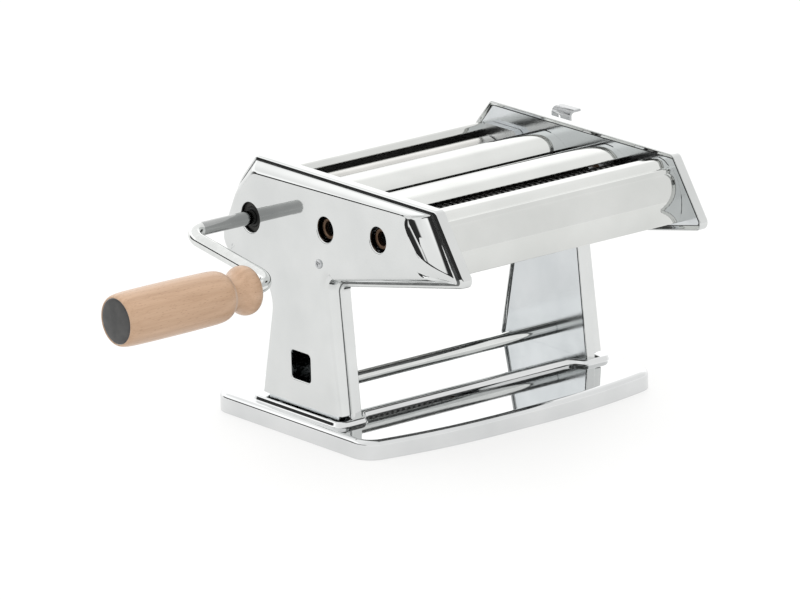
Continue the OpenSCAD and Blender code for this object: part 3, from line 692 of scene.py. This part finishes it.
cover("rear_shroud", dense(path([(72, 105), (68.2, 117), (55, 140), (51.3, 135.0)], [0, 30, 2.5, 0], 14), 0.5), "rear_cover", tabs=[(50.6, 54, 134.2, 138.6)])
cover("roller_shroud", arc((-4, 116), 28, 47.5, 129.9, 72), "roller_cover", tabs=[(-8, 2, 141, 146)])
cover("cutter_shroud", spline([(-45.6, 141.0), (-46.9, 143.2)], 3)[:-1] + arc((-58.5, 111.7), 35, 70.5, 117.0, 48), "cutter_cover", tabs=[(-64, -54, 144, 148.5)])
front_line = path([(-98, 143.8), (-100.4, 148), (-108.2, 148.2), (-119.6, 141.2), (-126.6, 126.6), (-121.6, 113.4), (-116, 112.6)], [0, 3, 10, 12, 28, 1.5, 0], 16)
cover("front_shroud", dense(front_line, 0.35), "front_cover", bulge=(V(-116.0, 143.4), 1.2), tabs=[(-113, -105, 145.2, 150.5), (-126, -121, 119, 130)])


# ------------------------------------------------------------------ turned parts
def turned(name, bodies, mat, body, nodes, n=96, sharp=36):
    S = Shape()
    for prof, c in bodies:
        S.lathe(prof, c, n)
    return add(name, S.v, S.f, mat, body, nodes, sharp)


def rod(r, s, half, tip, c=0.35):
    """Half profile of a shouldered rod, from end to end."""
    right = [(half, r - c), (half, s), (half + tip - 0.5, s), (half + tip, s - 0.5), (half + tip, 0.0)]
    left = [(-x, q) for x, q in right[::-1]]
    return left + [(-half + c, r), (-half + 2 * c, r), (half - 2 * c, r), (half - c, r)] + right


turned("lower_rod", [(rod(4.0, 3.0, 83.5, 6.5), TR)], M_STEEL, "chassis", ["lower_tie_rod"])
turned("upper_rods", [(rod(3.5, 2.5, 83.5, 6.5), p) for p in UR], M_ZINC, "chassis", ["upper_tie_rods"], n=64)


def plain_roll(name, c, left, right, body, node, bore):
    h, r = 78.0, 15.0
    prof = [(-h, 6.0), (-h, r - 0.5), (-h + 0.5, r), (-h + 1.0, r), (h - 1.0, r), (h - 0.5, r), (h, r - 0.5), (h, 6.0), (right - 0.4, 6.0), (right, 5.6), (right, 0.0)]
    if bore:
        prof = [(-73.0, 0.0), (-73.0, 4.15), (-left + 2.6, 4.15)] + [(-left + 2.6, 6.0)] + prof
    else:
        prof = [(-left, 0.0), (-left, 5.6), (-left + 0.4, 6.0)] + prof
    turned(name, [(prof, c)], M_ROLL, body, [node], n=128)
    if bore:
        # the neck seen through the crank-side hole is near-black: painted shade
        turned(name + "_neck", [([(-left + 2.6, 4.15), (-left + 0.3, 4.15), (-left, 4.5), (-left, 5.6), (-left + 0.4, 6.0), (-left + 2.6, 6.0), (-left + 2.6, 4.15)], c)],
               M_JOURNAL_SHADE, body, [node], n=96)


plain_roll("rear_sheeting_roll", A1, 94.8, 89.0, "rear_roller", "rear_roller", True)
plain_roll("front_sheeting_roll", A2, 94.4, 90.0, "front_roller", "front_roller", False)


def cutter(name, c, n, pitch, x0, w, left, lr, node, bore):
    prof = [(-75.0, lr), (-75.0, 8.3), (-74.7, 8.6)]
    for i in range(n):
        a = x0 + pitch * i
        prof += [(a - w / 2, 8.6), (a - w / 2, 10.85), (a - w / 2 + 0.15, 11.0), (a + w / 2 - 0.15, 11.0), (a + w / 2, 10.85), (a + w / 2, 8.6)]
    prof += [(74.7, 8.6), (75.0, 8.3), (75.0, 5.0), (92.6, 5.0), (93.0, 4.6), (93.0, 0.0)]
    if bore:
        prof = [(-73.0, 0.0), (-73.0, 4.15), (-left + 3.0, 4.15), (-left + 3.0, lr)] + prof
        turned(name + "_end", [([(-left + 3.0, 4.15), (-left + 0.5, 4.15), (-left, 4.65), (-left, lr - 0.3), (-left + 0.3, lr), (-left + 3.0, lr), (-left + 3.0, 4.15)], c)],
               M_BRONZE, node, [node], n=64, sharp=30)
    else:
        prof = [(-left, 0.0), (-left, lr - 0.4), (-left + 0.4, lr)] + prof
    turned(name, [(prof, c)], M_CUT_SHADED, node, [node], n=64, sharp=30)


wp, npt = 13.0, 4.0
WA, NX = -5.5 * wp, -18.5 * npt
cutter("wide_roll_rear", W1, 12, wp, WA, wp / 2 - 0.15, 93.5, 6.0, "wide_cutter_rear", True)
cutter("wide_roll_front", W2, 11, wp, WA + wp / 2, wp / 2 - 0.15, 87.0, 5.0, "wide_cutter_front", False)
cutter("narrow_roll_rear", N1, 38, npt, NX, npt / 2 - 0.15, 93.5, 6.0, "narrow_cutter_rear", True)
cutter("narrow_roll_front", N2, 37, npt, NX + npt / 2, npt / 2 - 0.15, 87.0, 5.0, "narrow_cutter_front", False)

# ------------------------------------------------------------------ crank and grip
CR, TH, ARM_X, GLEN = 61.28, math.radians(200.0), -127.0, 95.3
GX = ARM_X - 12.5
GRIP = A1 + CR * V(math.cos(TH), math.sin(TH))


def arm(x, y, z):
    return (x, A1[0] + y * math.cos(TH) - z * math.sin(TH), A1[1] + y * math.sin(TH) + z * math.cos(TH))


def bent_rod(name, line, mat):
    """Round rod along (x, y, heading, radius) stations in the arm's plane; a positive radius carries the two drive flats."""
    S = Shape()
    rings = []
    for x, y, head, rad in line:
        h = math.radians(head)
        nx, ny = -math.sin(h), math.cos(h)
        flat, rad = rad > 0, abs(rad)
        pts = []
        for t in np.linspace(0, 2 * math.pi, 48, endpoint=False):
            u, w = rad * math.cos(t), rad * math.sin(t)
            if flat:
                w = max(-3.0, min(3.0, w))
            pts.append(arm(x + nx * u, y + ny * u, w))
        rings.append(S.ring(pts))
    for p, q in zip(rings, rings[1:]):
        S.strip(p, q)
    S.f.append(tuple(rings[0]))
    S.f.append(tuple(rings[-1]))
    return add(name, S.v, S.f, mat, "crank", ["crank_rod"], sharp=40)


def crank():
    r = 4.0
    turn = 90.0 + math.degrees(math.asin(0.28))
    xa = ARM_X - 8 + 15.36 - 11.9
    shaft = [(-74.0, 0.0, 180.0, 3.2), (-74.8, 0.0, 180.0, r), (-84.5, 0.0, 180.0, r), (-84.501, 0.0, 180.0, -r), (-85.0, 0.0, 180.0, -r),
             (xa + 0.3, 0.0, 180.0, -r)]
    rest = [(xa + 0.3, 0.0, 180.0, -r)]
    for a in np.linspace(0, turn, 20):
        t = math.radians(a)
        rest.append((xa - 8 * math.sin(t), 8 - 8 * math.cos(t), 180.0 - a, -r))
    for a in np.linspace(turn, 0, 20):
        t = math.radians(a)
        rest.append((ARM_X - 8 + 8 * math.sin(t), CR - 8 + 8 * math.cos(t), 180.0 - a, -r))
    end = GX - GLEN + 7.6
    rest += [(ARM_X - 8.3, CR, 180.0, -r), (end + 0.5, CR, 180.0, -r), (end, CR, 180.0, -3.5)]
    bent_rod("crank_shaft", shaft, M_SHAFT_SHADE)
    return bent_rod("crank_arm", rest, M_STEEL)


crank_arm = crank()

body_line = spline([(0.0, 8.5), (0.8, 10.5), (2.2, 12.6), (4.2, 13.8), (6.5, 14.2), (8.8, 13.9), (10.8, 12.9), (12.6, 11.6), (14.5, 10.8), (16.5, 10.5), (18.3, 10.8),
                    (19.8, 11.8), (21.0, 13.0), (22.8, 14.0), (26.0, 14.8), (40.0, 15.3), (60.0, 15.5), (80.0, 15.5), (89.0, 15.3), (92.8, 14.9), (94.6, 14.3),
                    (95.3, 13.75)], 5)
grip_prof = [(82.3, 4.1), (0.5, 4.1), (0.0, 4.6), (0.0, 8.2)] + [(p[0], p[1]) for p in body_line]
grip_prof += [(95.35, 13.5), (95.2, 13.2), (90.3, 13.2), (90.3, 7.2), (82.3, 7.2), (82.3, 4.1)]
S = Shape()
S.lathe(grip_prof, GRIP, 96, -1.0, GX)
turned_grip = add("turned_grip", S.v, S.f, M_BEECH, "grip", ["wooden_grip"], sharp=40)
S = Shape()
S.lathe([(90.3, 0.0), (90.3, 13.1), (94.7, 13.1), (95.05, 12.95), (95.25, 12.6), (95.38, 12.0), (95.5, 11.0), (95.65, 9.0), (95.78, 6.0), (95.86, 3.0), (95.88, 0.0)],
        GRIP, 96, -1.0, GX)
grip_plug = add("grip_plug", S.v, S.f, M_CAP, "grip", ["grip_end_cap"], sharp=50)
for ob in (crank_arm, turned_grip, grip_plug):
    ob.visible_glossy = False


# ------------------------------------------------------------------ housing screws with a cross recess
def screws():
    S = Shape()
    for side in (-1, 1):
        prof = [(xo - 13.0, 0.0), (xo - 13.0, 2.0), (xo, 2.0), (xo, 2.7), (xo + 0.25, 2.75)]
        for a in np.linspace(0, 55, 6):
            t = math.radians(a)
            prof.append((xo + 0.25 + 1.15 * math.sin(t) / math.sin(math.radians(55)), 2.75 - 1.15 * (1 - math.cos(t)) / (1 - math.cos(math.radians(55)))))
        rings = S.lathe([(side * x, r) for x, r in prof], SC, 48)
        # star-shaped recess: arms of the cross fall away from the head
        c, h = SC, xo + 1.4
        star = []
        for k in range(4):
            a = math.radians(45 + 90 * k + 12)
            for dx, dy in ((1.15, -0.32), (1.15, 0.32), (0.32, 0.32)):
                star.append((c[0] + dx * math.cos(a) - dy * math.sin(a), c[1] + dx * math.sin(a) + dy * math.cos(a)))
        top = S.ring([(side * h, *p) for p in star])
        low = S.ring([(side * (h - 0.9), c[0] + (p[0] - c[0]) * 0.6, c[1] + (p[1] - c[1]) * 0.6) for p in star])
        S.strip(top, low)
        S.f.append(tuple(low))
        S.cap(rings[-1], [top], plane=(1, 2))
    return add("cross_screws", S.v, S.f, M_ZINC, "chassis", ["housing_screws"], sharp=40)


screws()

# ------------------------------------------------------------------ materials and softened edges on what stays as constructed
STAY = {
    "base_bolts": M_ZINC, "base_nuts": M_ZINC, "left_inner_plate": M_PLATE, "right_inner_plate": M_PLATE, "tie_rod_nuts": M_ZINC,
    "housing_standoffs": M_ZINC, "side_guides": M_GUIDE, "rear_scraper": M_SPRING_SHADED, "front_scraper": M_SPRING_SHADED, "wide_cutter_combs": M_SPRING_SHADED,
    "narrow_cutter_combs": M_SPRING_SHADED, "rear_roller_gear": M_GEAR_SHADE, "front_roller_gear": M_GEAR_SHADE, "roller_bushes": M_BRONZE,
    "left_bearing_block": M_BRONZE, "right_bearing_block": M_BRONZE, "carriage_guides": M_ZINC, "gap_shaft": M_STEEL, "gap_lever": M_LEVER,
    "lever_cap_nut": M_STEEL, "wide_cutter_rear_gear": M_GEAR_SHADE, "wide_cutter_front_gear": M_GEAR_SHADE, "narrow_cutter_rear_gear": M_GEAR_SHADE,
    "narrow_cutter_front_gear": M_GEAR_SHADE, "cutter_bushes": M_BRONZE, "grip_retainer": M_ZINC,
}
EDGE = {"gap_lever": 0.25, "lever_cap_nut": 0.3, "left_inner_plate": 0.25, "right_inner_plate": 0.25, "side_guides": 0.4, "tie_rod_nuts": 0.3,
        "base_nuts": 0.3, "gap_shaft": 0.3, "rear_roller_gear": 0.15, "front_roller_gear": 0.15}
for name, mat in STAY.items():
    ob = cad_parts[name]
    ob.data.materials.clear()
    ob.data.materials.append(mat)
    if name in EDGE:
        w = ob.modifiers.new("weld", "WELD")
        w.merge_threshold = 1e-6
        b = ob.modifiers.new("edge", "BEVEL")
        b.width = EDGE[name] * MM
        b.segments = 3
        b.limit_method = "ANGLE"
        b.angle_limit = math.radians(40)
        b.harden_normals = True

# ------------------------------------------------------------------ stage: floor, light, world, camera
floor_m = Mat("pale floor")
floor_m.set(Metallic=0.0, Roughness=0.6, Emission_Strength=0.78)
floor_m.b.inputs["Emission Color"].default_value = (1.0, 1.0, 0.995, 1)
floor_m.b.inputs["Specular IOR Level"].default_value = 0.15
floor_m.to(floor_m.ramp(floor_m.noise(1.2, 2.0), (0.3, (0.18, 0.18, 0.179)), (0.7, (0.20, 0.20, 0.199))), "Base Color")
me = bpy.data.meshes.new("floor")
me.from_pydata([(1.3 * math.cos(t), 1.3 * math.sin(t), 0) for t in np.linspace(0, 2 * math.pi, 96, endpoint=False)], [], [tuple(range(96))])
floor = bpy.data.objects.new("floor", me)
scene.collection.objects.link(floor)
me.materials.append(floor_m.m)


def area(name, loc, look, size, power, color=(1, 1, 1), size_y=None):
    d = bpy.data.lights.new(name, "AREA")
    d.energy = power
    d.color = color
    d.size = size
    if size_y:
        d.shape = "RECTANGLE"
        d.size_y = size_y
    o = bpy.data.objects.new(name, d)
    scene.collection.objects.link(o)
    o.location = loc
    o.rotation_euler = (Vector(look) - Vector(loc)).to_track_quat("-Z", "Y").to_euler()
    o.visible_camera = False
    o.visible_glossy = False
    return o


area("key", (-1.1, -0.9, 1.7), (0, 0, 0.08), 1.1, 3.0)
area("fill", (1.3, -1.3, 1.3), (0, 0, 0.08), 1.2, 1.5)
area("top", (0.1, 0.5, 2.0), (0, 0, 0.05), 1.6, 7.0)

world = bpy.data.worlds.new("studio")
scene.world = world
world.use_nodes = True
nt = world.node_tree
nt.nodes.clear()
out = nt.nodes.new("ShaderNodeOutputWorld")
bg = nt.nodes.new("ShaderNodeBackground")
cam_bg = nt.nodes.new("ShaderNodeBackground")
mixs = nt.nodes.new("ShaderNodeMixShader")
lp = nt.nodes.new("ShaderNodeLightPath")
tc = nt.nodes.new("ShaderNodeTexCoord")
sep = nt.nodes.new("ShaderNodeSeparateXYZ")
nt.links.new(tc.outputs["Generated"], sep.inputs[0])
dx, dy, dz = sep.outputs


def wmath(kind, a, b):
    n = nt.nodes.new("ShaderNodeMath")
    n.operation = kind
    for sock, v in ((n.inputs[0], a), (n.inputs[1], b)):
        if isinstance(v, (int, float)):
            sock.default_value = v
        else:
            nt.links.new(v, sock)
    return n.outputs[0]


def wstep(v, a, b, c, d):
    """Smooth step of v from a to b, giving c to d."""
    n = nt.nodes.new("ShaderNodeMapRange")
    n.interpolation_type = "SMOOTHSTEP"
    for i, q in enumerate((a, b, c, d)):
        n.inputs[i + 1].default_value = q
    nt.links.new(v, n.inputs[0])
    return n.outputs[0]


# even sky, brighter behind, a bright band low at the back, and a dark stretch along the left horizon
sky = wstep(dy, -0.35, 0.25, 1.00, 1.13)
band = wmath("MULTIPLY", wmath("MULTIPLY", wstep(dz, 0.06, 0.16, 0.0, 1.0), wstep(dz, 0.5, 0.66, 1.0, 0.0)), wstep(dy, 0.1, 0.45, 0.0, 0.32))
lift = wmath("SUBTRACT", dz, wmath("MULTIPLY", wmath("MAXIMUM", dy, 0.0), 0.10))
left = wstep(wmath("ADD", wmath("MULTIPLY", dx, -0.93), wmath("MULTIPLY", dy, 0.37)), 0.60, 0.82, 0.0, 1.0)
dark = wmath("MULTIPLY", left, wstep(lift, 0.12, 0.19, 1.0, 0.0))
light = wmath("MULTIPLY", wmath("ADD", sky, band), wmath("SUBTRACT", 1.0, wmath("MULTIPLY", dark, 0.97)))
comb = nt.nodes.new("ShaderNodeCombineColor")
for i, k in enumerate((1.0, 1.0, 0.995)):
    nt.links.new(wmath("MULTIPLY", light, k), comb.inputs[i])
nt.links.new(comb.outputs[0], bg.inputs["Color"])
bg.inputs["Strength"].default_value = 1.0
cam_bg.inputs["Color"].default_value = (1.0, 1.0, 1.0, 1)
cam_bg.inputs["Strength"].default_value = 1.0
nt.links.new(lp.outputs["Is Camera Ray"], mixs.inputs[0])
nt.links.new(bg.outputs[0], mixs.inputs[1])
nt.links.new(cam_bg.outputs[0], mixs.inputs[2])
nt.links.new(mixs.outputs[0], out.inputs["Surface"])

AZ, EL, ROLL, DIST = math.radians(-37.899), math.radians(16.317), math.radians(-1.589), 5.0
target = Vector((-0.023361, 0.0, 0.063399))
back = Vector((math.sin(AZ) * math.cos(EL), -math.cos(AZ) * math.cos(EL), math.sin(EL)))
right = (-back).cross(Vector((0, 0, 1))).normalized()
up = right.cross(-back)
r2 = right * math.cos(ROLL) + up * math.sin(ROLL)
u2 = up * math.cos(ROLL) - right * math.sin(ROLL)
cd = bpy.data.cameras.new("camera")
cd.sensor_fit = "HORIZONTAL"
cd.sensor_width = 36.0
cd.lens = 8765.0 / 800.0 * 36.0
cd.clip_start, cd.clip_end = 0.05, 60.0
cam = bpy.data.objects.new("camera", cd)
scene.collection.objects.link(cam)
m = Matrix((r2, u2, back)).transposed().to_4x4()
m.translation = target + back * DIST
cam.matrix_world = m
scene.camera = cam

scene.view_settings.view_transform = "Standard"
scene.view_settings.look = "None"
scene.view_settings.exposure = 0.0
scene.cycles.caustics_reflective = False
scene.cycles.caustics_refractive = False
